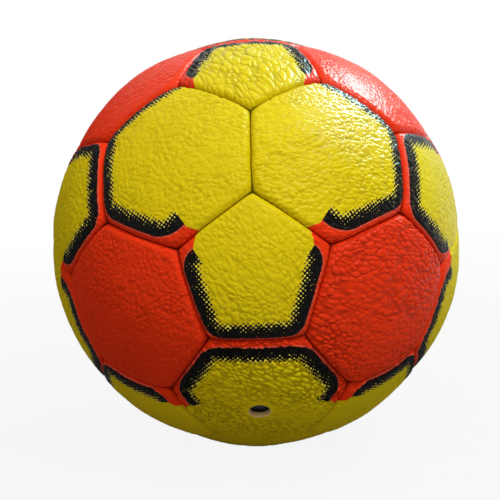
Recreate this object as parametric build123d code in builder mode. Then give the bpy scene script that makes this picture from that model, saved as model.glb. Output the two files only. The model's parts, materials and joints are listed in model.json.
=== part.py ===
from build123d import *
from math import asin, atan, cos, degrees, pi, radians, sin, sqrt, tan
import os

# A hand-sewn handball: twelve pentagons and twenty hexagons over an inflated rubber bladder.
# Millimetres. The origin is the ball's centre, and the front pentagon faces -Y with one corner up.

# Ball
ball_girth = 470.0

# Cover panels
crown_radius = 66.0
cover_thickness = 2.2
rim_radius = 2.6
corner_ease = 0.8
margin_thickness = 1.3
margin_edge = 1.7
seam_gap = 0.1

# Stitching
stitch_drop = 1.6
stitch_pitch = 5.2
stitch_end = 3.2
thread_width = 0.8
thread_clearance = 0.1

# Bladder and the glue line between layers
bladder_wall = 0.9
layer_gap = 0.1

# Valve
valve_offset = 2.9
punch_radius = 3.4
valve_drop = 0.9
neck_radius = 5.4
tail_length = 13.0
tail_hole_radius = 1.7
disc_radius = 13.0
disc_edge = 1.2
core_radius = 2.9
core_head_radius = 4.1
core_head_thickness = 1.1
core_clearance = 0.05
core_stop = 2.0
needle_radius = 1.0
funnel_radius = 1.9
funnel_angle = 80.0

overrun = 5.0

# Angles of the truncated icosahedron
golden = (1 + sqrt(5)) / 2
pole_to_pole = degrees(atan(2))
seam_half_angle = degrees(atan(1 / (3 * golden)))
adjacent_tolerance = 1.0
poles_sideways = (0, 90, 0)


def panel_half_angle(sides):
    """Angle at the ball's centre between a panel's axis and the middle of its seams."""
    return degrees(asin(1 / (3 * golden * tan(pi / sides))))


pentagon_half_angle = panel_half_angle(5)
hexagon_half_angle = panel_half_angle(6)

# Radii from the ball's centre, worked out from the outside in
ball_radius = ball_girth / (2 * pi)
crown_centre = ball_radius - crown_radius
hexagon_corner_angle = atan(tan(radians(hexagon_half_angle)) / cos(pi / 6))
crest_radius = crown_centre * cos(hexagon_corner_angle) + sqrt(
    crown_radius**2 - (crown_centre * sin(hexagon_corner_angle)) ** 2
)
stitch_radius = crest_radius - cover_thickness - stitch_drop
margin_radius = stitch_radius - margin_edge
bladder_outer = margin_radius - layer_gap
bladder_inner = bladder_outer - bladder_wall

# Distances from a seam's middle plane
margin_outside = seam_gap / 2
margin_inside = margin_outside + margin_thickness
thread_middle = margin_inside + thread_clearance + thread_width / 2
backing_side = thread_middle + thread_width / 2 + thread_clearance

# Stitches along one seam
slit_width = thread_width + 2 * thread_clearance
stitch_span = 2 * (stitch_radius * radians(seam_half_angle) - stitch_end)
stitch_steps = int(stitch_span / stitch_pitch)
step_arc = degrees(stitch_pitch / stitch_radius)
stitch_arc = stitch_steps * step_arc
thread_arc = degrees(thread_width / stitch_radius)

# Heights on the valve's own axis, from the ball's centre
valve_top = ball_radius - cover_thickness - valve_drop
valve_tail = bladder_inner - tail_length
disc_base = sqrt((bladder_inner - layer_gap) ** 2 - disc_radius**2) - disc_edge


def panel_plane(polar, clock, spin=0):
    """Plane at the ball's centre with z along a panel's axis and x towards the middle of a seam."""
    p, c = radians(polar), radians(clock)
    axis = Vector(sin(p) * sin(c), -cos(p), sin(p) * cos(c))
    away = Vector(cos(p) * sin(c), sin(p), cos(p) * cos(c))
    return Plane(origin=(0, 0, 0), x_dir=away.rotate(Axis((0, 0, 0), axis), spin), z_dir=axis)


def own_seam_planes(sides):
    """A panel's seam planes in its own frame, x out through the seam's middle, z across the seam."""
    tilt = radians(panel_half_angle(sides))
    planes = []
    for side in range(sides):
        turn = 2 * pi * side / sides
        middle = Vector(sin(tilt) * cos(turn), sin(tilt) * sin(turn), cos(tilt))
        across = Vector(cos(tilt) * cos(turn), cos(tilt) * sin(turn), -sin(tilt))
        planes.append(Plane(origin=(0, 0, 0), x_dir=middle, z_dir=across))
    return planes


# Where each panel sits: rings from the front pole to the back one, clock angles seen from the front
five_from_top = {"top": 0, "right": 72, "lower_right": 144, "lower_left": 216, "left": 288}
five_from_bottom = {"bottom": 180, "left": 252, "upper_left": 324, "upper_right": 36, "right": 108}
first_hexagons = pentagon_half_angle + hexagon_half_angle
second_hexagons = first_hexagons + 2 * hexagon_half_angle
rings = [
    ("pentagon_front", 5, pole_to_pole, 0, five_from_top),
    ("hexagon_front", 6, first_hexagons, 0, five_from_bottom),
    ("hexagon_mid_front", 6, second_hexagons, 0, five_from_bottom),
    ("hexagon_mid_back", 6, 180 - second_hexagons, 0, five_from_top),
    ("hexagon_back", 6, 180 - first_hexagons, 0, five_from_top),
    ("pentagon_back", 5, 180 - pole_to_pole, 180, five_from_bottom),
]
pentagons = {"pentagon_front": panel_plane(0, 180), "pentagon_back": panel_plane(180, 180)}
hexagons = {}
for ring, sides, polar, spin, places in rings:
    for place, clock in places.items():
        kind = pentagons if sides == 5 else hexagons
        kind[f"{ring}_{place}"] = panel_plane(polar, clock, spin)
valve_panel_plane = hexagons.pop("hexagon_front_bottom")

# The valve leans a little from its panel's axis, towards the seam on the panel's own x
valve_lean = asin(valve_offset / ball_radius)
own_valve_axis = Vector(sin(valve_lean), 0, cos(valve_lean))
own_valve_plane = Plane(origin=(0, 0, 0), x_dir=(cos(valve_lean), 0, -sin(valve_lean)), z_dir=own_valve_axis)
valve_plane = Plane(
    origin=(0, 0, 0),
    x_dir=valve_panel_plane.from_local_coords(own_valve_plane.x_dir),
    z_dir=valve_panel_plane.from_local_coords(own_valve_axis),
)


def crowned_wedge(sides, depth, inset):
    """The solid wedge under a panel's crown, depth below it, with its sides inset from the seams."""
    with BuildPart() as wedge:
        with Locations((0, 0, crown_centre)):
            Sphere(crown_radius - depth, rotation=poles_sideways)
        for plane in own_seam_planes(sides):
            split(bisect_by=plane.offset(-inset), keep=Keep.BOTTOM)
    return wedge.part


def cover_panel(sides):
    """A panel of the cover: crowned face, rolled rim and a turned-in margin pierced for the thread."""
    with BuildPart() as panel:
        add(crowned_wedge(sides, 0, margin_outside))
        Sphere(margin_radius, rotation=poles_sideways, mode=Mode.SUBTRACT)
        fillet(panel.edges().filter_by(GeomType.LINE), rim_radius + corner_ease)
        crown = panel.faces().filter_by(GeomType.SPHERE).sort_by(Axis.Z)[-1]
        fillet(crown.edges(), rim_radius)
        add(crowned_wedge(sides, cover_thickness, margin_inside), mode=Mode.SUBTRACT)
        with Locations(*own_seam_planes(sides)):
            with PolarLocations(stitch_radius, stitch_steps + 1, -stitch_arc / 2, stitch_arc, endpoint=True):
                Box(slit_width, slit_width, 2 * margin_inside + overrun, mode=Mode.SUBTRACT)
    return panel.part


def panel_backing(sides):
    """The cloth and foam layer that fills a panel inside its margin."""
    with BuildPart() as backing:
        add(crowned_wedge(sides, cover_thickness + layer_gap, backing_side))
        Sphere(margin_radius, rotation=poles_sideways, mode=Mode.SUBTRACT)
    return backing.part


def pierced(solid, radius):
    """A panel layer with a round hole on the valve's axis."""
    with BuildPart() as layer:
        add(solid)
        with Locations(own_valve_plane.offset(ball_radius + overrun)):
            Hole(radius, depth=ball_radius)
    return layer.part


def seam_stitch():
    """One seam sewn with two needles: a run of thread inside each margin, crossing at every slit."""
    with BuildPart() as stitch:
        with BuildSketch(Plane.XZ.rotated((0, 0, -(stitch_arc + thread_arc) / 2))):
            with Locations((stitch_radius, 0)):
                Rectangle(thread_width, 2 * thread_middle + thread_width)
        revolve(axis=Axis.Z, revolution_arc=stitch_arc + thread_arc)
        for step in range(stitch_steps):
            gap_start = step * step_arc - (stitch_arc - thread_arc) / 2
            with BuildSketch(Plane.XZ.rotated((0, 0, gap_start))):
                with Locations((stitch_radius, 0)):
                    Rectangle(thread_width + overrun, 2 * thread_middle - thread_width)
            revolve(axis=Axis.Z, revolution_arc=step_arc - thread_arc, mode=Mode.SUBTRACT)
    return stitch.part


def seam_planes_between(first, second):
    """Ball-frame seam planes between neighbouring panels of two kinds."""
    planes = []
    for axis, tilt in first:
        for other, other_tilt in second:
            if abs(axis.get_angle(other) - tilt - other_tilt) > adjacent_tolerance:
                continue
            sideways = (other - axis * axis.dot(other)).normalized()
            lean = radians(tilt)
            middle = axis * cos(lean) + sideways * sin(lean)
            across = sideways * cos(lean) - axis * sin(lean)
            planes.append(Plane(origin=(0, 0, 0), x_dir=middle, z_dir=across))
    return planes


def save(piece, name):
    piece.part.label = name
    export_step(piece.part, f"parts/{name}.step")


os.makedirs("parts", exist_ok=True)

# Cover
pentagon_cover = cover_panel(5)
for name, plane in pentagons.items():
    with BuildPart() as pentagon_panel:
        with Locations(plane):
            add(pentagon_cover)
    save(pentagon_panel, name)

hexagon_cover = cover_panel(6)
for name, plane in hexagons.items():
    with BuildPart() as hexagon_panel:
        with Locations(plane):
            add(hexagon_cover)
    save(hexagon_panel, name)

with BuildPart() as valve_panel:
    with Locations(valve_panel_plane):
        add(pierced(hexagon_cover, punch_radius))
save(valve_panel, "hexagon_valve")

# Backing layers, one solid behind each panel
with BuildPart() as pentagon_backings:
    with Locations(*pentagons.values()):
        add(panel_backing(5))
save(pentagon_backings, "pentagon_backings")

hexagon_layer = panel_backing(6)
with BuildPart() as hexagon_backings:
    with Locations(*hexagons.values()):
        add(hexagon_layer)
    with Locations(valve_panel_plane):
        add(pierced(hexagon_layer, neck_radius + layer_gap))
save(hexagon_backings, "hexagon_backings")

# Stitching, one solid on each seam
pentagon_axes = [(plane.z_dir, pentagon_half_angle) for plane in pentagons.values()]
hexagon_axes = [(plane.z_dir, hexagon_half_angle) for plane in [*hexagons.values(), valve_panel_plane]]
stitch_master = seam_stitch()

with BuildPart() as pentagon_stitching:
    with Locations(*seam_planes_between(pentagon_axes, hexagon_axes)):
        add(stitch_master)
save(pentagon_stitching, "pentagon_seam_stitching")

hexagon_seams = []
for index, hexagon in enumerate(hexagon_axes):
    hexagon_seams += seam_planes_between([hexagon], hexagon_axes[index + 1 :])
with BuildPart() as hexagon_stitching:
    with Locations(*hexagon_seams):
        add(stitch_master)
save(hexagon_stitching, "hexagon_seam_stitching")

# Bladder
with BuildPart() as bladder:
    Sphere(bladder_outer)
    Sphere(bladder_inner, mode=Mode.SUBTRACT)
    with Locations(valve_plane.offset(ball_radius)):
        Hole(neck_radius + layer_gap, depth=ball_radius)
save(bladder, "bladder")

# Valve body: a disc bonded inside the bladder, a neck up through it and a tail that holds the core
with BuildPart() as valve_body:
    Sphere(bladder_inner - layer_gap)
    with Locations(valve_plane.offset(disc_base)):
        Cylinder(
            disc_radius, bladder_inner, align=(Align.CENTER, Align.CENTER, Align.MIN), mode=Mode.INTERSECT
        )
    with BuildSketch(valve_plane.offset(valve_tail)):
        Circle(neck_radius)
    extrude(amount=valve_top - valve_tail)
    with Locations(valve_plane.offset(valve_top)):
        CounterBoreHole(
            core_radius + core_clearance,
            core_head_radius + core_clearance,
            core_head_thickness + core_clearance,
            depth=valve_top - valve_tail - core_stop,
        )
        Hole(tail_hole_radius)
save(valve_body, "valve_body")

# Valve core: a headed plug with a funnel that leads the needle in
with BuildPart() as valve_core:
    with BuildSketch(valve_plane.offset(valve_top - core_head_thickness)):
        Circle(core_head_radius)
    extrude(amount=core_head_thickness)
    with BuildSketch(valve_plane.offset(valve_tail + core_stop + core_clearance)):
        Circle(core_radius)
    extrude(until=Until.NEXT)
    with Locations(valve_plane.offset(valve_top)):
        CounterSinkHole(needle_radius, funnel_radius, counter_sink_angle=funnel_angle)
save(valve_core, "valve_core")
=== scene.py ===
import json
from dataclasses import dataclass
from math import asin, atan, cos, pi, radians, sin, sqrt, tan
from random import Random

import bmesh
import bpy
import numpy as np
from mathutils import Matrix, Vector, noise


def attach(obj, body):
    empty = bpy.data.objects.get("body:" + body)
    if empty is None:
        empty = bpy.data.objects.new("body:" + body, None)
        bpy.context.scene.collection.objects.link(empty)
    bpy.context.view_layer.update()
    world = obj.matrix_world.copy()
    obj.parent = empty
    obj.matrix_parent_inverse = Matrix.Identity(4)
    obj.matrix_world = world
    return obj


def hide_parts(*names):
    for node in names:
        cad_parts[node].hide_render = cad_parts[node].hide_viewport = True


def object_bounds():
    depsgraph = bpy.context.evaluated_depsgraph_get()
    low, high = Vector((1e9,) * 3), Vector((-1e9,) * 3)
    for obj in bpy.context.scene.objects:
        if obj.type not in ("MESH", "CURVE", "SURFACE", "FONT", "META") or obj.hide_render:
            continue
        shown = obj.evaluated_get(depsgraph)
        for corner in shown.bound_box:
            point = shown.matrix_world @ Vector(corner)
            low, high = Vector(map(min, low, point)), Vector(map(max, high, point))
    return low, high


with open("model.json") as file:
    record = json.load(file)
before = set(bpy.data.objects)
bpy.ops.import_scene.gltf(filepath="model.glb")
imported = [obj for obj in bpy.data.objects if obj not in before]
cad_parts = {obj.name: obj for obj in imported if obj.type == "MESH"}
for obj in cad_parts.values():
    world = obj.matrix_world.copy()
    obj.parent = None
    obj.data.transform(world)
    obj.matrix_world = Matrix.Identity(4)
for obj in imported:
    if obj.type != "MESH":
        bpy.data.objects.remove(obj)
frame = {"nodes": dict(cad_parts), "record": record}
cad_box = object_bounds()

# A sewn handball: thirty-two leather panels, printed in yellow, orange and black.
# Shapes are worked out in millimetres about the ball's centre and placed in metres.
METRES = 0.001

# Ball and seams, as in the construction
ball_radius = (cad_box[1].y - cad_box[0].y) / 2 / METRES
crown_radius = 66.0
cover_thickness = 2.2
margin_thickness = 1.3
seam_gap = 0.1

# Rim, drawn a little tighter than in the construction, with a margin that ends above the stitches
rim_radius = 2.2
margin_depth = 1.0
corner_sharpness = 16

# Mesh steps from a panel's middle to its seam, and how far out the lining turns down into the margin
face_steps = 88
lining_steps = 20
lining_wall_share = 0.95

# A panel's very middle counts as this far out, so that nothing is divided by zero
least_share = 1e-6
least_length = 1e-9

# Material number of a panel's margin, lining and hole wall, after its dyed face
raw_face = 1

# Uneven hand work: how far the leather strays, over what length
sway = 0.45
sway_length = 26.0
ripple = 0.16
ripple_length = 7.5
hand_work_seed = 1856

# Valve hole: rounded edge, uneven punch, and where the pebbles come back outside it
hole_edge = 0.3
hole_unevenness_share = 0.02
hole_unevenness_scale = 0.9
hole_calm_from = 0.4
hole_calm_to = 2.4

# Rings of the hole's wall, from the edge down: radius added, and the step below the ring above
hole_wall_rings = ((0.12, 0.06), (0.0, 0.24), (-0.06, 0.6), (0.0, 0.7), (0.12, 0.5))

# Angles of the thirty-two panel pattern
golden = (1 + sqrt(5)) / 2
pole_to_pole = atan(2)
seam_half_angle = atan(1 / (3 * golden))

# The six blocks of yellow panels face along these axes
block_slope = atan(1 / golden)
block_axes = np.array(
    [
        (1, 0, 0),
        (0, -cos(block_slope), sin(block_slope)),
        (0, sin(block_slope), cos(block_slope)),
    ]
)
block_reach = cos(radians(45))

# Printed border of a yellow block
border_offset = 1.3
border_corner = 4.0
border_solid = 1.2
border_fade = 6.4
yellow_from = 1.0
halftone_pitch = 1.1
halftone_turn = pi / 4
halftone_gain = 2.0
border_end_offset = {5: 3.3, 6: 4.4}
border_end_length = {5: 5.0, 6: 7.3}
corner_block_depth = {5: 7.9, 6: 8.0}
corner_block_slope = {5: 0.58, 6: 0.0}
no_print = -20.0
print_softness = 0.08

# Halftone dots: uneven edge, and the thresholds from solid ink to bare leather
speckle_scale = 750.0
speckle_low, speckle_high = -0.8, 0.7
dot_threshold_start, dot_threshold_span = -2.4, 4.9
dot_softness = 0.25

# Pale yellow between the dots, and a thin pale line outside the ink, by depth in the border
pale_full, pale_gone = border_fade - 2.4, border_fade - 0.6
pale_strength = 0.6
edge_line_start, edge_line_full = -0.55, -0.35
edge_line_fades, edge_line_gone = -0.1, 0.0
edge_line_strength = 0.5

# The print never sits quite true: offsets from the three printed seams, anticlockwise round the panel
offset_spread = 0.5
known_offsets = {
    "pentagon_front": (1.0, 1.1, 1.9),
    "pentagon_front_top": (1.8, 3.4, 1.5),
    "hexagon_mid_back_top": (1.5, 4.4, 1.5),
    "hexagon_front_upper_left": (-0.5, 1.1, 2.0),
    "hexagon_front_upper_right": (2.2, 0.5, -0.1),
    "hexagon_valve": (0.9, 2.5, 0.8),
}

# Border ends that differ, by panel and first or last end: offset, length, and whether the corner is orange
known_ends = {
    ("hexagon_front_upper_left", 0): (0.3, 4.2, False),
    ("hexagon_front_upper_right", 1): (0.3, 3.6, False),
}

# Camera: where it stands, seen from the ball's centre, in the photograph's frame of 500 pixels
camera_direction = Vector((0.0113, -1.0, 0.1394))
camera_up = Vector((0.0315, 0.0, 1.0))
camera_distance = 378.0
camera_lens = 72.87
camera_sensor = 36
picture_size = 500
ball_pixel = (256.3, 241.9)

# Colours, linear
yellow = (0.64, 0.50, 0.0035)
orange = (0.74, 0.034, 0.005)
deep_orange = tuple(0.92 * part for part in orange)
ink = (0.002, 0.002, 0.002)
pale_yellow = (0.80, 0.70, 0.14)
ink_edge = (0.50, 0.14, 0.10)
raw_dark = (0.45, 0.27, 0.09)
raw_pale = (0.80, 0.58, 0.26)

# A noise pattern goes from one look to the other between these values
noise_low, noise_high = 0.3, 0.7

# Tones of the leather: painted shade in the creases by their depth in millimetres, clouds, painted shade
# deeper in the seams, and scuffs in the ink
crease_shade_from, crease_shade_to, crease_shade_tone = 0.14, 0.58, 0.72
cloud_scale = 38.0
cloud_low, cloud_high = 0.25, 0.75
cloud_dark, cloud_light = 0.95, 1.03
seam_shade_from_share, seam_shade_tone = 0.5, 0.4
scuff_scale = 620.0
scuff_from, scuff_to, scuffed_ink = 0.66, 0.74, 0.72

# Finish of the leather: pores, and a weak reflection under the clear lacquer
pore_scale = 2100.0
pore_height = 0.02 * METRES
pore_strength = 0.6
smooth_roughness, pore_roughness = 0.22, 0.36
leather_specular = 0.18
leather_specular_tint = (0.3, 0.3, 0.3)
lacquer_roughness = 0.2

# The leather is worn matt away from the shine side, and keeps its lacquer only round the lacquer side
shine_side = Vector((0.45, -0.45, 0.77))
worn_reach, shine_reach = 0.0, 60.0 * METRES
worn_roughness = 0.65
lacquer_side = Vector((0.46, -0.57, 0.68))
lacquer_from, lacquer_to = 69.0 * METRES, 75.5 * METRES
yellow_lacquer, orange_lacquer = 1.0, 0.3

# Raw leather, cloth and rubber: height of their fibres and skin, and the bloom on the rubber
fibre_height = 0.1 * METRES
rubber_height = 0.03 * METRES
bloom_low, bloom_high = 0.35, 0.75
bloom_roughness = 0.15

# Studio: soft lamps by place in metres, width, power and colour, and the light that the white walls give
softboxes = {
    "overhead_softbox": ((-0.03, -0.62, 0.88), 2.0, 13.0, (1.0, 0.98, 0.92)),
    "lamp_softbox": ((0.40, -0.56, 0.74), 0.13, 4.8, (0.98, 1.0, 0.94)),
    "window_softbox": ((0.53, 0.42, 0.74), 0.46, 8.4, (0.58, 0.98, 1.0)),
}
wall_light = (0.085, 0.075, 0.06)
white = (1, 1, 1)

# Floor: its paint as the ball is lit by it, and its whiteness in the picture, less in the ball's shadow
floor_radius = 3.0
floor_sides = 96
floor_paint = (0.32, 0.28, 0.24)
shadow_reach, white_reach = 0.08, 0.7
shadow_whiteness = 0.9


@dataclass
class Grain:
    """A panel's pebbles: cell size and relief in millimetres, stretch along a direction in degrees."""

    cell: float
    relief: float
    stretch: float
    turn: float


@dataclass
class Panel:
    """One cover panel: its own axes, the yellow block it belongs to, its pebbles and its printed sides."""

    name: str
    sides: int
    axes: np.ndarray
    block: int | None
    grain: Grain
    printed: tuple = ()


# Pebbles of the panels that the photograph shows best
known_grains = {
    "pentagon_front": Grain(2.0, 0.34, 1.6, 40),
    "pentagon_front_top": Grain(3.2, 0.62, 2.3, 15),
    "hexagon_front_upper_left": Grain(1.8, 0.36, 1.5, 20),
    "hexagon_front_upper_right": Grain(1.9, 0.48, 2.1, 10),
    "hexagon_front_left": Grain(1.8, 0.34, 1.5, 15),
    "hexagon_front_right": Grain(2.3, 0.6, 1.7, 5),
    "hexagon_valve": Grain(2.0, 0.72, 2.0, 55),
    "hexagon_mid_front_upper_right": Grain(1.6, 0.26, 2.4, 20),
    "hexagon_mid_front_upper_left": Grain(1.7, 0.26, 1.6, 70),
}

# Pebbles of the other panels are drawn between these
usual_cell = (1.6, 2.1)
usual_relief = (0.24, 0.42)
usual_stretch = (1.1, 1.9)
usual_turn = (0, 180)

# Shapes of the pebbles, in cells: how their net bends, how wide creases are and how far a dome reaches
small_bend, small_bend_scale = 0.5, 0.7
wide_bend, wide_bend_scale = 1.2, 0.17
crease_width = 0.32
dome_reach = 0.75

# Shares of the relief that creases, domes and slow swells take
crease_share = 0.75
dome_share = 0.17
swell_share, swell_scale = 0.16, 0.4

# Some creases are deeper than others, and some stretches of leather calmer: usual share, spread and limits
depth_scale = 0.9
usual_depth, depth_spread, depth_limits = 0.9, 0.6, (0.4, 1.25)
calm_scale = 0.12
usual_calm, calm_spread, calm_limits = 0.95, 0.6, (0.6, 1.2)

# The pebbles fade out over the rim, between these shares of its radius
pebble_fade_shares = (0.5, 1.1)

# Each panel takes its pebbles from another slice of the noise
slice_spread = 10
slice_weights = (1, 2, 3)

# The map for a bake: its width in half panels, and the corner that hidden faces share
bake_room = 2.1
bake_corner = 0.01


def half_angle(sides):
    """Angle at the ball's centre between a panel's axis and the middle of its seams."""
    return asin(1 / (3 * golden * tan(pi / sides)))


def panel_axes(polar, clock, flipped=False):
    """A panel's own axes as rows: x towards the middle of a seam, z out of the ball."""
    z = np.array((sin(polar) * sin(clock), -cos(polar), sin(polar) * cos(clock)))
    x = np.array((cos(polar) * sin(clock), sin(polar), cos(polar) * cos(clock)))
    if flipped:
        x = -x
    return np.array((x, np.cross(z, x), z))


def block_of(axis):
    """Number of the yellow block that a panel belongs to, or None for an orange panel."""
    facing = block_axes @ axis
    nearest = int(np.abs(facing).argmax())
    if abs(facing[nearest]) < block_reach:
        return None
    return nearest + 1 if facing[nearest] > 0 else -nearest - 1


def panel_grain(name):
    """The pebbles seen in the photograph, or others like them."""
    if name in known_grains:
        return known_grains[name]
    draw = Random(name)
    return Grain(*(draw.uniform(*limits) for limits in (usual_cell, usual_relief, usual_stretch, usual_turn)))


def all_panels():
    """The thirty-two panels, ring by ring from the front pole to the back one."""
    from_top = {"top": 0, "right": 72, "lower_right": 144, "lower_left": 216, "left": 288}
    from_bottom = {"bottom": 180, "left": 252, "upper_left": 324, "upper_right": 36, "right": 108}
    first = half_angle(5) + half_angle(6)
    second = first + 2 * half_angle(6)
    rings = [
        ("pentagon_front", 5, pole_to_pole, False, from_top),
        ("hexagon_front", 6, first, False, from_bottom),
        ("hexagon_mid_front", 6, second, False, from_bottom),
        ("hexagon_mid_back", 6, pi - second, False, from_top),
        ("hexagon_back", 6, pi - first, False, from_top),
        ("pentagon_back", 5, pi - pole_to_pole, True, from_bottom),
    ]
    places = [
        ("pentagon_front", 5, panel_axes(0, pi)),
        ("pentagon_back", 5, panel_axes(pi, pi)),
    ]
    for ring, sides, polar, flipped, clocks in rings:
        for place, clock in clocks.items():
            name = f"{ring}_{place}".replace("hexagon_front_bottom", "hexagon_valve")
            places.append((name, sides, panel_axes(polar, radians(clock), flipped)))
    panels = []
    for name, sides, axes in places:
        panels.append(Panel(name, sides, axes, block_of(axes[2]), panel_grain(name)))
    for panel in panels:
        panel.printed = printed_sides(panel, panels)
    return panels


def side_turns(sides):
    """Angles of a panel's sides, from the one on its +X."""
    return 2 * pi * np.arange(sides) / sides


def printed_sides(panel, panels):
    """The sides of a yellow panel that border another block, in order round the panel."""
    if panel.block is None:
        return ()
    past_seam = half_angle(panel.sides) + half_angle(5)
    out, up = sin(past_seam), cos(past_seam)
    others = [other for other in panels if other is not panel]
    outside = []
    for turn in side_turns(panel.sides):
        beyond = np.array((out * cos(turn), out * sin(turn), up)) @ panel.axes
        neighbour = max(others, key=lambda other: other.axes[2] @ beyond)
        outside.append(neighbour.block != panel.block)
    first = next(k for k in range(panel.sides) if outside[k] and not outside[k - 1])
    return tuple((first + k) % panel.sides for k in range(sum(outside)))


# Panel surfaces


def flat_grid(sides, steps, name):
    """A flat polygon of triangles, its seams at distance one, with the middle of a seam on +X."""
    bm = bmesh.new()
    bmesh.ops.create_circle(bm, cap_ends=True, cap_tris=True, segments=sides, radius=1 / cos(pi / sides))
    bmesh.ops.rotate(bm, verts=bm.verts, matrix=Matrix.Rotation(pi / sides - pi / 2, 3, "Z"))
    bmesh.ops.subdivide_edges(bm, edges=bm.edges, cuts=steps - 1, use_grid_fill=True)
    mesh = bpy.data.meshes.new(name)
    bm.to_mesh(mesh)
    bm.free()
    return mesh


def read(collection, key, width=1, kind=np.float32):
    """One property of all items, as an array."""
    values = np.empty(len(collection) * width, kind)
    collection.foreach_get(key, values)
    return values.reshape(-1, width) if width > 1 else values


def outward_shares(sides, flat):
    """How far each flat point lies towards its nearest seam, sharp and with the corners rounded."""
    turns = side_turns(sides)
    out = flat[:, :1] * np.cos(turns) + flat[:, 1:2] * np.sin(turns)
    rounded = (np.maximum(out, 0) ** corner_sharpness).sum(axis=1) ** (1 / corner_sharpness)
    return np.maximum(out.max(axis=1), least_share), rounded


def crown_height(up, depth):
    """Distance from the ball's centre to a depth below the crown, along a direction with that z."""
    centre = ball_radius - crown_radius
    return centre * up + np.sqrt((crown_radius - depth) ** 2 - centre**2 * (1 - up**2))


def tilted(flat, share, tilt):
    """Directions from the ball's centre for flat points, each tilted by its own angle towards its seam."""
    direction = np.column_stack((flat[:, :2] * (np.tan(tilt) / share)[:, None], np.ones(len(flat))))
    return direction / np.linalg.norm(direction, axis=1)[:, None]


def rolled_face(sides, flat):
    """Directions, radii and drops below the crown of an outer face that rolls over its rim into the seam."""
    reach = half_angle(sides) * ball_radius - seam_gap / 2
    longest = reach + (pi / 2 - 1) * rim_radius
    share, rounded_share = outward_shares(sides, flat)

    def from_seam(out):
        return longest - (longest + margin_depth) * out

    roll = np.clip(from_seam(share) / rim_radius, 0, pi / 2)
    inset = rim_radius * (1 - np.cos(roll)) + np.maximum(from_seam(share) - rim_radius * pi / 2, 0)
    drop_roll = np.clip(from_seam(rounded_share) / rim_radius, 0, pi / 2)
    sunk = np.clip(-from_seam(rounded_share), 0, margin_depth)
    drop = rim_radius * (1 - np.sin(drop_roll)) + sunk
    direction = tilted(flat, share, (reach - inset) / ball_radius)
    return direction, crown_height(direction[:, 2], 0) - drop, drop


def lining_face(sides, flat):
    """Points of a panel's hidden inner face: the crown's underside and the inside of its margin."""
    reach = half_angle(sides) * ball_radius - seam_gap / 2 - margin_thickness
    share, _ = outward_shares(sides, flat)
    margin_end = crown_height(cos(half_angle(sides)), 0) - rim_radius - margin_depth
    direction = tilted(flat, share, reach / ball_radius * np.minimum(share / lining_wall_share, 1))
    radius = crown_height(direction[:, 2], cover_thickness)
    down = np.clip((share - lining_wall_share) / (1 - lining_wall_share), 0, 1)
    return direction * (radius + (margin_end - radius) * down)[:, None]


def smooth_step(values, low, high):
    """From zero at low to one at high, with soft ends."""
    t = np.clip((values - low) / (high - low), 0, 1)
    return t * t * (3 - 2 * t)


def strays(points):
    """Uneven hand work, the same on both sides of a seam."""
    moved = np.empty_like(points)
    for i, point in enumerate(points):
        place = Vector(point)
        swaying = noise.noise_vector(place / sway_length)
        rippling = noise.noise_vector(place / ripple_length)
        moved[i] = sway * swaying + ripple * rippling
    return moved


def pebbles(flat, grain, seed):
    """Leather grain at flat points in millimetres, about zero in the creases and one on the pebbles."""
    turn = radians(grain.turn)
    along = (flat[:, 0] * cos(turn) + flat[:, 1] * sin(turn)) / (grain.cell * sqrt(grain.stretch))
    across = (flat[:, 1] * cos(turn) - flat[:, 0] * sin(turn)) / (grain.cell / sqrt(grain.stretch))
    nearest, second = np.empty((2, len(flat)))
    swell, calm, depth = np.empty((3, len(flat)))
    for i in range(len(flat)):
        place = Vector((along[i], across[i], seed))
        bent = place + small_bend * noise.noise_vector(place * small_bend_scale)
        bent += wide_bend * noise.noise_vector(place * wide_bend_scale)
        nearest[i], second[i] = noise.voronoi(bent)[0][:2]
        swell[i] = noise.noise(place * swell_scale)
        calm[i] = noise.noise(place * calm_scale)
        depth[i] = noise.noise(place * depth_scale)
    crease = 1 - smooth_step(second - nearest, 0.0, crease_width)
    dome = (nearest / dome_reach) ** 2
    depth = np.clip(usual_depth + depth_spread * depth, *depth_limits)
    calm = np.clip(usual_calm + calm_spread * calm, *calm_limits)
    return 1 - calm * (crease_share * crease * depth + dome_share * dome) + swell_share * swell


def seam_distances(sides, direction):
    """Distances over the ball from each seam of a panel."""
    tilt = half_angle(sides)
    turns = side_turns(sides)
    out = direction[:, :1] * np.cos(turns) + direction[:, 1:2] * np.sin(turns)
    return ball_radius * np.arcsin(np.clip(sin(tilt) * direction[:, 2:] - cos(tilt) * out, -1, 1))


def print_offsets(name):
    """How far the border lies from each printed seam of a panel."""
    if name in known_offsets:
        return known_offsets[name]
    draw = Random(f"print {name}")
    return tuple(border_offset + draw.uniform(-offset_spread, offset_spread) for _ in range(3))


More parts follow.
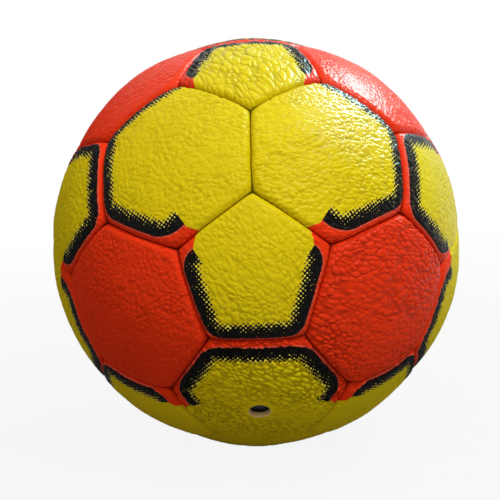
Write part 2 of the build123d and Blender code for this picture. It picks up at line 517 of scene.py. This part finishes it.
def print_fields(panel, direction):
    """Depth inside the printed border, distance from its cut ends, and depth past an orange corner."""
    sides, printed = panel.sides, panel.printed
    count = len(direction)
    if not printed:
        return np.full(count, no_print), np.full(count, border_fade), np.full(count, no_print)
    distance = seam_distances(sides, direction)
    room = [distance[:, side] - gap for side, gap in zip(printed, print_offsets(panel.name))]
    keeps, fields = [], []
    ends = ((printed[0] - 1, printed[0], 1), (printed[-1] + 1, printed[-1], -1))
    for end, (side, last, step) in enumerate(ends):
        side %= sides
        usual = (border_end_offset[sides], border_end_length[sides], True)
        offset, length, has_block = known_ends.get((panel.name, end), usual)
        own = distance[:, side] - offset
        if has_block:
            room.append(own)
        turn = 2 * pi * side / sides
        along = direction[:, 1] * cos(turn) - direction[:, 0] * sin(turn)
        from_corner = ball_radius * (seam_half_angle - step * np.arcsin(along))
        keeps.append(np.maximum(length - from_corner, own - border_fade))
        block_depth = corner_block_depth[sides] - corner_block_slope[sides] * distance[:, side]
        fields.append(distance[:, last] - (block_depth if has_block else no_print))
    room = np.array(room)
    shortfall = np.maximum(border_corner - room, 0)
    depth = border_corner - np.sqrt((shortfall**2).sum(axis=0))
    depth += np.maximum(room.min(axis=0) - border_corner, 0)
    keep = np.minimum(*keeps)
    field = np.where(keeps[0] < keeps[1], *fields)
    return depth, keep, field


def flat_places(panel, direction):
    """The face laid flat, in millimetres, with +X towards the middle of its printed sides."""
    angle = np.arccos(np.clip(direction[:, 2], -1, 1))
    length = np.hypot(direction[:, 0], direction[:, 1])
    unrolled = ball_radius * angle / np.maximum(length, least_length)
    scale = np.where(length > least_length, unrolled, ball_radius)
    middle = panel.printed[len(panel.printed) // 2] if panel.printed else 0
    turn = 2 * pi * middle / panel.sides
    x = direction[:, 0] * cos(turn) + direction[:, 1] * sin(turn)
    y = direction[:, 1] * cos(turn) - direction[:, 0] * sin(turn)
    return np.column_stack((x, y)) * scale[:, None]


def moved_copy(mesh, points):
    """A copy of a mesh with its vertices at these points."""
    copy = mesh.copy()
    copy.vertices.foreach_set("co", np.ascontiguousarray(points, np.float32).ravel())
    return copy


def punch_hole(bm, axis, radius):
    """Cuts the valve hole through both faces of a panel and closes its wall."""

    def off_axis(vert):
        return (vert.co - vert.co.dot(axis) * axis).length

    edge_radius = radius + hole_edge
    bmesh.ops.delete(bm, geom=[v for v in bm.verts if off_axis(v) < edge_radius], context="VERTS")
    near = edge_radius + ball_radius / lining_steps
    rim = [e for e in bm.edges if e.is_boundary and max(off_axis(v) for v in e.verts) < near]
    heights = sorted(v.co.dot(axis) for e in rim for v in e.verts)
    level = (heights[0] + heights[-1]) / 2
    outer = [e for e in rim if e.verts[0].co.dot(axis) > level]
    inner = [e for e in rim if e.verts[0].co.dot(axis) <= level]

    def to_ring(edges, ring_radius, drop):
        for vert in {v for e in edges for v in e.verts}:
            out = vert.co - vert.co.dot(axis) * axis
            uneven = 1 + hole_unevenness_share * noise.noise(vert.co * hole_unevenness_scale)
            vert.co = vert.co.dot(axis) * axis + out.normalized() * ring_radius * uneven - drop * axis

    to_ring(outer, edge_radius, 0)
    to_ring(inner, edge_radius, 0)
    walls = []
    for added_radius, drop in hole_wall_rings:
        grown = bmesh.ops.extrude_edge_only(bm, edges=outer)["geom"]
        outer = [g for g in grown if isinstance(g, bmesh.types.BMEdge) and g.is_boundary]
        walls += [g for g in grown if isinstance(g, bmesh.types.BMFace)]
        to_ring(outer, radius + added_radius, drop)
    walls += bmesh.ops.bridge_loops(bm, edges=outer + inner)["faces"]
    for face in walls:
        face.material_index = raw_face


def panel_mesh(panel, face_grid, lining_grid, valve):
    """One closed panel: printed outer face, rolled rim, short margin and lining."""
    flat = read(face_grid.vertices, "co", 3).astype(float)
    direction, radius, drop = rolled_face(panel.sides, flat)
    laid_flat = flat_places(panel, direction)
    noise_slice = len(panel.name) + slice_spread * panel.axes[2] @ slice_weights
    grain = pebbles(laid_flat, panel.grain, noise_slice)
    fade = 1 - smooth_step(drop, *(share * rim_radius for share in pebble_fade_shares))
    world = (direction @ panel.axes) * radius[:, None]
    if valve:
        hole_radius = valve["dims"]["r_mm"]
        hole_axis = Vector(valve["axis"]).normalized()
        along = np.array(hole_axis)
        off_axis = np.linalg.norm(world - np.outer(world @ along, along), axis=1)
        fade *= smooth_step(off_axis, hole_radius + hole_calm_from, hole_radius + hole_calm_to)
    world += strays(world)
    crease = panel.grain.relief * fade * (1 - grain)
    world -= (direction @ panel.axes) * crease[:, None]
    lining = lining_face(panel.sides, read(lining_grid.vertices, "co", 3).astype(float)) @ panel.axes

    bm = bmesh.new()
    for part in (moved_copy(face_grid, world), moved_copy(lining_grid, lining)):
        bm.from_mesh(part)
        bpy.data.meshes.remove(part)
    if valve:
        punch_hole(bm, hole_axis, hole_radius)
    rims = bmesh.ops.bridge_loops(bm, edges=[e for e in bm.edges if e.is_boundary])["faces"]
    for face in rims:
        face.material_index = raw_face
    bmesh.ops.recalc_face_normals(bm, faces=bm.faces)
    bmesh.ops.scale(bm, verts=bm.verts, vec=(METRES, METRES, METRES))
    mesh = bpy.data.meshes.new(panel.name)
    bm.to_mesh(mesh)
    bm.free()
    mesh.shade_smooth()
    depth, keep, field = print_fields(panel, direction)
    fields = {
        "print_depth": depth,
        "print_keep": keep,
        "field_depth": field,
        "crease_depth": crease,
        "seam_depth": drop,
    }
    write_fields(mesh, laid_flat, fields)
    return mesh


def write_fields(mesh, laid_flat, fields):
    """Stores the values of print and grain on the vertices, and the map that a bake goes through."""
    number = read(mesh.attributes["grid_number"].data, "value", kind=np.int32)
    on_face = number > 0
    places = np.zeros((len(number), 3), np.float32)
    places[on_face, :2] = laid_flat[number[on_face] - 1]
    mesh.attributes.new("laid_flat", "FLOAT_VECTOR", "POINT").data.foreach_set("vector", places.ravel())
    for name, values in fields.items():
        spread = np.zeros(len(number), np.float32)
        spread[on_face] = values[number[on_face] - 1]
        mesh.attributes.new(name, "FLOAT", "POINT").data.foreach_set("value", spread)
    bake_width = bake_room * ball_radius * atan(tan(half_angle(6)) / cos(pi / 6))
    uv = 0.5 + places[:, :2] / bake_width
    uv[~on_face] = bake_corner
    corner = read(mesh.loops, "vertex_index", kind=np.int32)
    mesh.uv_layers.new(name="OFBake").data.foreach_set("uv", uv[corner].ravel())
    mesh.attributes.remove(mesh.attributes["grid_number"])


# Materials


class Shader:
    """The nodes of a material or of the world, added and linked by short calls."""

    def __init__(self, owner):
        self.owner = owner
        owner.use_nodes = True
        self.tree = owner.node_tree
        self.tree.nodes.clear()

    def node(self, kind, inputs=None, **settings):
        made = self.tree.nodes.new(kind)
        for key, value in settings.items():
            setattr(made, key, value)
        for key, value in (inputs or {}).items():
            socket = made.inputs[key]
            if isinstance(value, bpy.types.NodeSocket):
                self.tree.links.new(value, socket)
            else:
                socket.default_value = (*value, 1) if socket.type == "RGBA" else value
        return made

    def math(self, operation, *values):
        made = self.node("ShaderNodeMath", dict(enumerate(values)), operation=operation)
        return made.outputs[0]

    def ramp(self, value, low, high, start=0.0, end=1.0, smooth=True):
        inputs = {"Value": value, "From Min": low, "From Max": high, "To Min": start, "To Max": end}
        kind = "SMOOTHSTEP" if smooth else "LINEAR"
        return self.node("ShaderNodeMapRange", inputs, interpolation_type=kind).outputs[0]

    def mix(self, factor, first, second):
        """A mix of two colours, by the colour sockets of the mix node."""
        inputs = {0: factor, 6: first, 7: second}
        return self.node("ShaderNodeMix", inputs, data_type="RGBA").outputs[2]

    def attribute(self, name, output="Fac"):
        return self.node("ShaderNodeAttribute", attribute_name=name).outputs[output]

    def place(self):
        return self.node("ShaderNodeTexCoord").outputs["Object"]

    def reach(self, side):
        """How far a point of the ball lies towards a side."""
        inputs = {0: self.place(), 1: side}
        return self.node("ShaderNodeVectorMath", inputs, operation="DOT_PRODUCT").outputs["Value"]

    def noise(self, scale, detail=2.0, roughness=0.5):
        inputs = {"Vector": self.place(), "Scale": scale, "Detail": detail, "Roughness": roughness}
        return self.node("ShaderNodeTexNoise", inputs).outputs["Fac"]

    def bump(self, height, distance, strength=1.0):
        inputs = {"Height": height, "Distance": distance, "Strength": strength}
        return self.node("ShaderNodeBump", inputs).outputs[0]

    def close(self, surface, output="ShaderNodeOutputMaterial"):
        self.node(output, {"Surface": surface})
        return self.owner

    def finish(self, **inputs):
        named = {key.replace("_", " "): value for key, value in inputs.items()}
        return self.close(self.node("ShaderNodeBsdfPrincipled", named).outputs[0])


def print_masks(shader):
    """Where a printed face is yellow, inked, paler between the dots, and pale along the ink's edge."""
    depth = shader.attribute("print_depth")
    kept = shader.ramp(shader.attribute("print_keep"), -print_softness, print_softness)
    inside = shader.ramp(depth, yellow_from - print_softness, yellow_from + print_softness)
    past_block = shader.ramp(shader.attribute("field_depth"), -print_softness, print_softness)
    difference = shader.math("SUBTRACT", inside, past_block)
    yellow_mask = shader.math("MULTIPLY_ADD", difference, kept, past_block)

    inputs = {"Vector": shader.attribute("laid_flat", "Vector"), "Rotation": (0, 0, halftone_turn)}
    turned = shader.node("ShaderNodeMapping", inputs).outputs[0]
    row = shader.node("ShaderNodeSeparateXYZ", {0: turned})
    waves = []
    for axis in (0, 1):
        phase = shader.math("MULTIPLY", row.outputs[axis], 2 * pi / halftone_pitch)
        waves.append(shader.math("COSINE", phase))
    lattice = shader.math("ADD", *waves)
    faded = shader.ramp(depth, border_solid, border_fade, smooth=False)
    even = shader.math("POWER", faded, halftone_gain)
    even = shader.math("MULTIPLY_ADD", even, dot_threshold_span, dot_threshold_start)
    speckle = shader.noise(speckle_scale)
    uneven = shader.ramp(speckle, noise_low, noise_high, speckle_low, speckle_high, smooth=False)
    threshold = shader.math("ADD", even, uneven)
    dots = shader.ramp(shader.math("SUBTRACT", lattice, threshold), -dot_softness, dot_softness)
    started = shader.ramp(depth, -print_softness, print_softness)
    ink_mask = shader.math("MULTIPLY", shader.math("MULTIPLY", dots, started), kept)

    paler = shader.ramp(depth, pale_full, pale_gone, pale_strength, 0.0)
    pale_mask = shader.math("MULTIPLY", paler, kept)
    line_start = shader.ramp(depth, edge_line_start, edge_line_full)
    line_end = shader.ramp(depth, edge_line_fades, edge_line_gone, 1.0, 0.0)
    edge_line = shader.math("MULTIPLY", line_start, line_end)
    edge_mask = shader.math("MULTIPLY", shader.math("MULTIPLY", edge_line, kept), edge_line_strength)
    return yellow_mask, ink_mask, pale_mask, edge_mask


def leather(name, printed):
    """Grained leather with a film of colour, glossy towards one side of the ball and worn matt elsewhere."""
    shader = Shader(bpy.data.materials.new(name))
    cloud = shader.noise(cloud_scale, detail=3.0)
    pores = shader.noise(pore_scale, roughness=0.6)
    if printed:
        yellow_mask, ink_mask, pale_mask, edge_mask = print_masks(shader)
        dyed = shader.mix(yellow_mask, orange, shader.mix(pale_mask, yellow, pale_yellow))
        dyed = shader.mix(edge_mask, dyed, ink_edge)
    else:
        dyed = shader.mix(shader.ramp(cloud, noise_low, noise_high), orange, deep_orange)
    # Painted shade: the colour is darker where the creases are deeper
    shade = shader.ramp(shader.attribute("crease_depth"), crease_shade_from, crease_shade_to, 1.0, crease_shade_tone)
    mottle = shader.ramp(cloud, cloud_low, cloud_high, cloud_dark, cloud_light)
    # Painted shade: the colour darkens deeper into the seams
    seam_shade_from = seam_shade_from_share * rim_radius
    seam_shade = shader.ramp(shader.attribute("seam_depth"), seam_shade_from, rim_radius, 1.0, seam_shade_tone)
    tone = shader.math("MULTIPLY", shader.math("MULTIPLY", shade, mottle), seam_shade)
    toned = shader.node("ShaderNodeVectorMath", {0: dyed, "Scale": tone}, operation="SCALE").outputs[0]
    if printed:
        scuffed = shader.ramp(shader.noise(scuff_scale, detail=3.0), scuff_from, scuff_to, 1.0, scuffed_ink)
        toned = shader.mix(shader.math("MULTIPLY", ink_mask, scuffed), toned, ink)

    worn = shader.ramp(shader.reach(shine_side), worn_reach, shine_reach, worn_roughness, 0.0)
    porous = shader.ramp(pores, noise_low, noise_high, smooth_roughness, pore_roughness)
    roughness = shader.math("ADD", porous, worn)
    most_lacquer = yellow_lacquer if printed else orange_lacquer
    lacquer = shader.ramp(shader.reach(lacquer_side), lacquer_from, lacquer_to, 0.0, most_lacquer)
    bumped = shader.bump(pores, pore_height, pore_strength)
    gloss = {"Specular_IOR_Level": leather_specular, "Specular_Tint": leather_specular_tint}
    finish = {"Coat_Weight": lacquer, "Coat_Roughness": lacquer_roughness, "Coat_Normal": bumped}
    return shader.finish(Base_Color=toned, Roughness=roughness, Normal=bumped, **gloss, **finish)


def raw_leather():
    """Undyed leather, seen at the punched edge of the valve hole and behind the panels."""
    shader = Shader(bpy.data.materials.new("raw_leather"))
    fibre = shader.noise(scale=900.0, detail=4.0, roughness=0.65)
    colour = shader.mix(fibre, raw_dark, raw_pale)
    bumped = shader.bump(fibre, fibre_height)
    return shader.finish(Base_Color=colour, Roughness=0.85, Normal=bumped)


def woven_cloth(name, dark, pale, threads):
    """Plain weave on object coordinates."""
    shader = Shader(bpy.data.materials.new(name))
    wave = {"Vector": shader.place(), "Scale": threads, "Distortion": 0.4}
    warp = shader.node("ShaderNodeTexWave", wave, bands_direction="X").outputs["Fac"]
    weft = shader.node("ShaderNodeTexWave", wave, bands_direction="Z").outputs["Fac"]
    weave = shader.math("MAXIMUM", warp, weft)
    colour = shader.mix(weave, dark, pale)
    return shader.finish(Base_Color=colour, Roughness=0.9, Normal=shader.bump(weave, fibre_height))


def rubber(name, dark, pale, roughness):
    """Moulded rubber with a faint, rougher bloom."""
    shader = Shader(bpy.data.materials.new(name))
    bloom = shader.noise(scale=160.0, detail=4.0, roughness=0.6)
    colour = shader.mix(shader.ramp(bloom, bloom_low, bloom_high), dark, pale)
    rough = shader.ramp(bloom, noise_low, noise_high, roughness, roughness + bloom_roughness)
    bumped = shader.bump(shader.noise(scale=1500.0), rubber_height)
    return shader.finish(Base_Color=colour, Roughness=rough, Normal=bumped)


# Building the ball


def build_cover():
    """The thirty-two leather panels in place of their solids."""
    face_grids, lining_grids = {}, {}
    for sides in (5, 6):
        face_grids[sides] = flat_grid(sides, face_steps, f"face_grid_{sides}")
        numbers = np.arange(1, len(face_grids[sides].vertices) + 1, dtype=np.int32)
        layer = face_grids[sides].attributes.new("grid_number", "INT", "POINT")
        layer.data.foreach_set("value", numbers)
        lining_grids[sides] = flat_grid(sides, lining_steps, f"lining_grid_{sides}")
        lining_faces = lining_grids[sides].polygons
        lining_faces.foreach_set("material_index", [raw_face] * len(lining_faces))
    yellow_leather = leather("yellow_leather", printed=True)
    orange_leather = leather("orange_leather", printed=False)
    raw = raw_leather()
    mounts = {mount["name"]: mount for mount in frame["record"]["mounts"]}
    for panel in all_panels():
        valve = mounts["valve_hole"] if panel.name == "hexagon_valve" else None
        mesh = panel_mesh(panel, face_grids[panel.sides], lining_grids[panel.sides], valve)
        mesh.materials.append(orange_leather if panel.block is None else yellow_leather)
        mesh.materials.append(raw)
        piece = bpy.data.objects.new(f"{panel.name}_leather", mesh)
        bpy.context.collection.objects.link(piece)
        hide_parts(panel.name)
        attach(piece, "root")
    for grid in (*face_grids.values(), *lining_grids.values()):
        bpy.data.meshes.remove(grid)


def finish_inner_nodes():
    """Cloth, thread and rubber on the solids inside the cover."""
    backing = woven_cloth("backing_cloth", dark=(0.40, 0.36, 0.29), pale=(0.66, 0.61, 0.52), threads=420.0)
    thread = woven_cloth("waxed_thread", dark=(0.34, 0.29, 0.21), pale=(0.58, 0.51, 0.39), threads=900.0)
    bladder = rubber("bladder_rubber", dark=(0.035, 0.03, 0.028), pale=(0.07, 0.062, 0.056), roughness=0.55)
    valve = rubber("valve_rubber", dark=(0.006, 0.006, 0.006), pale=(0.014, 0.013, 0.013), roughness=0.5)
    finishes = {
        "pentagon_backings": backing,
        "hexagon_backings": backing,
        "pentagon_seam_stitching": thread,
        "hexagon_seam_stitching": thread,
        "bladder": bladder,
        "valve_body": valve,
        "valve_core": valve,
    }
    for name, material in finishes.items():
        node = frame["nodes"][name]
        node.data.materials.clear()
        node.data.materials.append(material)


# Studio


def place_camera():
    """The camera, turned to the ball's centre and shifted so that it falls on the same pixel."""
    data = bpy.data.cameras.new("camera")
    data.lens = camera_lens
    data.sensor_width = camera_sensor
    data.shift_x = (picture_size / 2 - ball_pixel[0]) / picture_size
    data.shift_y = (ball_pixel[1] - picture_size / 2) / picture_size
    camera = bpy.data.objects.new("camera", data)
    back = camera_direction.normalized()
    right = camera_up.cross(back).normalized()
    turn = Matrix((right, back.cross(right), back)).transposed()
    camera.matrix_world = Matrix.Translation(back * camera_distance * METRES) @ turn.to_4x4()
    bpy.context.collection.objects.link(camera)
    bpy.context.scene.camera = camera


def add_softbox(name, place, size, power, colour):
    """A round soft lamp that faces the ball."""
    data = bpy.data.lights.new(name, "AREA")
    data.color = colour
    data.shape = "DISK"
    data.size = size
    data.energy = power
    lamp = bpy.data.objects.new(name, data)
    lamp.location = place
    lamp.rotation_mode = "QUATERNION"
    lamp.rotation_quaternion = Vector(place).to_track_quat("Z", "Y")
    bpy.context.collection.objects.link(lamp)


def seen_directly(shader):
    """One for rays from the camera, mirrors and glass; zero for light that falls on other things."""
    path = shader.node("ShaderNodeLightPath").outputs
    seen = shader.math("MAXIMUM", path["Is Camera Ray"], path["Is Glossy Ray"])
    return shader.math("MAXIMUM", seen, path["Is Transmission Ray"])


def white_floor():
    """Pale floor that is white in the picture, apart from the ball's shadow."""
    shader = Shader(bpy.data.materials.new("white_floor"))
    paint = shader.node("ShaderNodeBsdfDiffuse", {"Color": floor_paint}).outputs[0]
    glow = shader.node("ShaderNodeEmission", {"Color": white, "Strength": 1.0}).outputs[0]
    distance = shader.node("ShaderNodeVectorMath", {0: shader.place()}, operation="LENGTH")
    from_ball = distance.outputs["Value"]
    whiteness = shader.ramp(from_ball, shadow_reach, white_reach, shadow_whiteness, 1.0)
    share = shader.math("MULTIPLY", seen_directly(shader), whiteness)
    return shader.close(shader.node("ShaderNodeMixShader", {0: share, 1: paint, 2: glow}).outputs[0])


def white_surroundings():
    """Walls that are white in the picture and give the ball only a little light."""
    shader = Shader(bpy.data.worlds.new("studio"))
    colour = shader.mix(seen_directly(shader), wall_light, white)
    walls = shader.node("ShaderNodeBackground", {"Color": colour, "Strength": 1.0}).outputs[0]
    return shader.close(walls, "ShaderNodeOutputWorld")


def build_studio():
    """Floor, lamps and white surroundings."""
    bm = bmesh.new()
    bmesh.ops.create_circle(bm, cap_ends=True, segments=floor_sides, radius=floor_radius)
    bmesh.ops.translate(bm, verts=bm.verts, vec=(0, 0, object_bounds()[0].z))
    mesh = bpy.data.meshes.new("floor")
    bm.to_mesh(mesh)
    bm.free()
    mesh.materials.append(white_floor())
    floor = bpy.data.objects.new("floor", mesh)
    bpy.context.collection.objects.link(floor)

    for name, (place, size, power, colour) in softboxes.items():
        add_softbox(name, place, size, power, colour)

    bpy.context.scene.world = white_surroundings()
    bpy.context.scene.view_settings.view_transform = "Standard"


noise.seed_set(hand_work_seed)
build_cover()
finish_inner_nodes()
build_studio()
place_camera()
